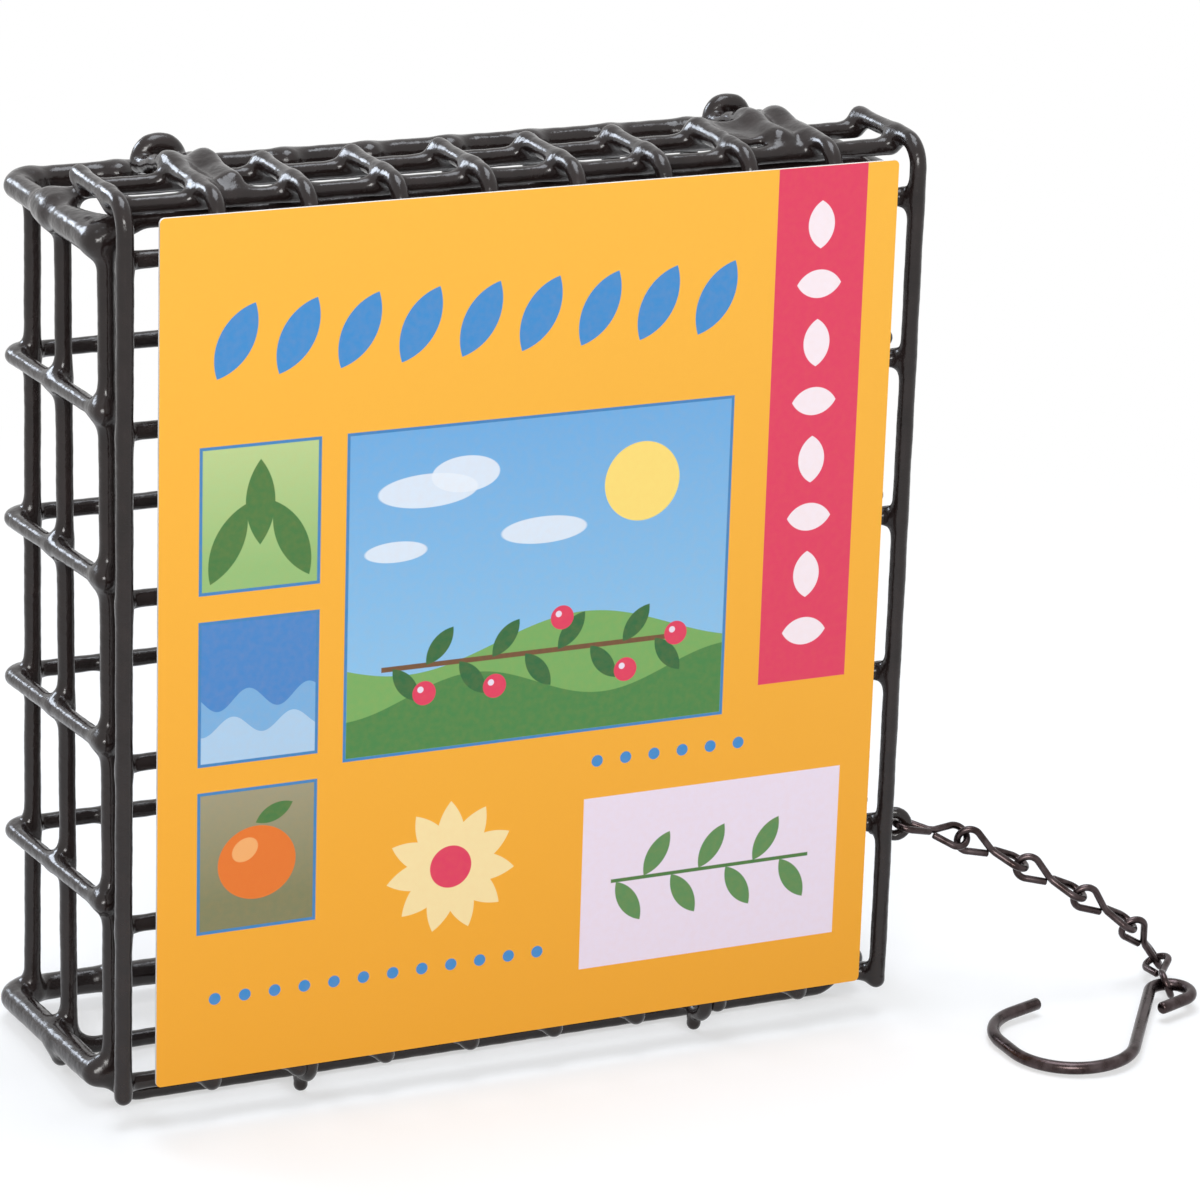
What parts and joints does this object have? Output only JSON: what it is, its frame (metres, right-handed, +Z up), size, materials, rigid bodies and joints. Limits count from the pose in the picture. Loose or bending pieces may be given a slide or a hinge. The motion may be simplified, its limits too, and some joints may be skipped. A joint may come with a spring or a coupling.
{
  "type": "suet feeder",
  "caption": "Flat wire cage for a pressed suet cake, with a drop-down wire door that folds over the top and latches, a card on the door, and a short chain with an S-hook.",
  "frame": {"origin": "under the middle of the front standing rail, on the plane that the feeder stands on", "axes": "+X to the right as seen from the card side, +Y from the card towards the back, +Z up"},
  "size_m": [0.1831, 0.0868, 0.1461],
  "materials": {
    "black_vinyl": "steel wire under a thick glossy black vinyl coat with a slight orange peel",
    "dark_bronze": "bare dark bronze plated wire, softly polished",
    "printed_card": "printed card with a satin coat"
  },
  "bodies": {
    "basket": {"basket_wire_1": "black_vinyl", "basket_wire_2": "black_vinyl", "basket_wire_3": "black_vinyl", "basket_wire_4": "black_vinyl", "base_rod": "black_vinyl", "top_rod": "black_vinyl", "back_upright_01": "black_vinyl", "back_upright_02": "black_vinyl", "back_upright_03": "black_vinyl", "back_upright_04": "black_vinyl", "back_upright_05": "black_vinyl", "back_upright_06": "black_vinyl", "back_upright_07": "black_vinyl", "back_upright_08": "black_vinyl", "back_upright_09": "black_vinyl", "back_upright_10": "black_vinyl", "front_hoop": "black_vinyl", "middle_hoop": "black_vinyl", "hinge_wire_left": "black_vinyl", "hinge_wire_right": "black_vinyl", "chain_anchor_link": "black_vinyl"},
    "door": {"door_wire_01": "black_vinyl", "door_wire_02": "black_vinyl", "door_wire_03": "black_vinyl", "door_wire_04": "black_vinyl", "door_wire_05": "black_vinyl", "door_wire_06": "black_vinyl", "door_wire_07": "black_vinyl", "door_wire_08": "black_vinyl", "door_wire_09": "black_vinyl", "door_wire_10": "black_vinyl", "door_rail_1": "black_vinyl", "door_rail_2": "black_vinyl", "door_rail_3": "black_vinyl", "door_rail_4": "black_vinyl", "door_rail_5": "black_vinyl", "door_rail_6": "black_vinyl", "flap_rail_front": "black_vinyl", "flap_rail_rear": "black_vinyl", "latch_tab_left": "black_vinyl", "latch_tab_right": "black_vinyl", "label_card": "printed_card"},
    "link_1": {"chain_link_1": "dark_bronze"},
    "link_2": {"chain_link_2": "dark_bronze"},
    "link_3": {"chain_link_3": "dark_bronze"},
    "link_4": {"chain_link_4": "dark_bronze"},
    "link_5": {"chain_link_5": "dark_bronze"},
    "link_6": {"chain_link_6": "dark_bronze"},
    "hook": {"s_hook": "dark_bronze"}
  },
  "joints": [
    {"name": "door_hinge", "type": "hinge", "parent": "basket", "child": "door", "pos_m": [0, -0.0073, 0.0063], "axis": [1, 0, 0], "range_deg": [0, 90]},
    {"name": "chain_pivot_1", "type": "hinge", "parent": "basket", "child": "link_1", "pos_m": [0.06936, -0.00333, 0.02913], "axis": [-0.3907, -0.9205, 0], "range_deg": [-30, 60]},
    {"name": "chain_pivot_2", "type": "hinge", "parent": "link_1", "child": "link_2", "pos_m": [0.08103, -0.00613, 0.02598], "axis": [-0.3654, -0.9259, -0.0957], "range_deg": [-20, 35]},
    {"name": "chain_pivot_3", "type": "hinge", "parent": "link_2", "child": "link_3", "pos_m": [0.08909, -0.00891, 0.02177], "axis": [-0.3721, 0.2395, -0.8967], "range_deg": [-30, 30]},
    {"name": "chain_pivot_4", "type": "hinge", "parent": "link_3", "child": "link_4", "pos_m": [0.0992, -0.01323, 0.01605], "axis": [-0.2701, -0.9437, -0.1911], "range_deg": [-30, 30]},
    {"name": "chain_pivot_5", "type": "hinge", "parent": "link_4", "child": "link_5", "pos_m": [0.10715, -0.0145, 0.01092], "axis": [-0.4956, 0.3064, -0.8127], "range_deg": [-30, 30]},
    {"name": "chain_pivot_6", "type": "hinge", "parent": "link_5", "child": "link_6", "pos_m": [0.11416, -0.01216, 0.00283], "axis": [-0.7618, 0.3059, -0.5711], "range_deg": [-95, 10]},
    {"name": "hook_pivot", "type": "hinge", "parent": "link_6", "child": "hook", "pos_m": [0.10977, -0.02375, 0.00251], "axis": [-0.0345, -0.0167, 0.9993], "range_deg": [-45, 45]}
  ]
}
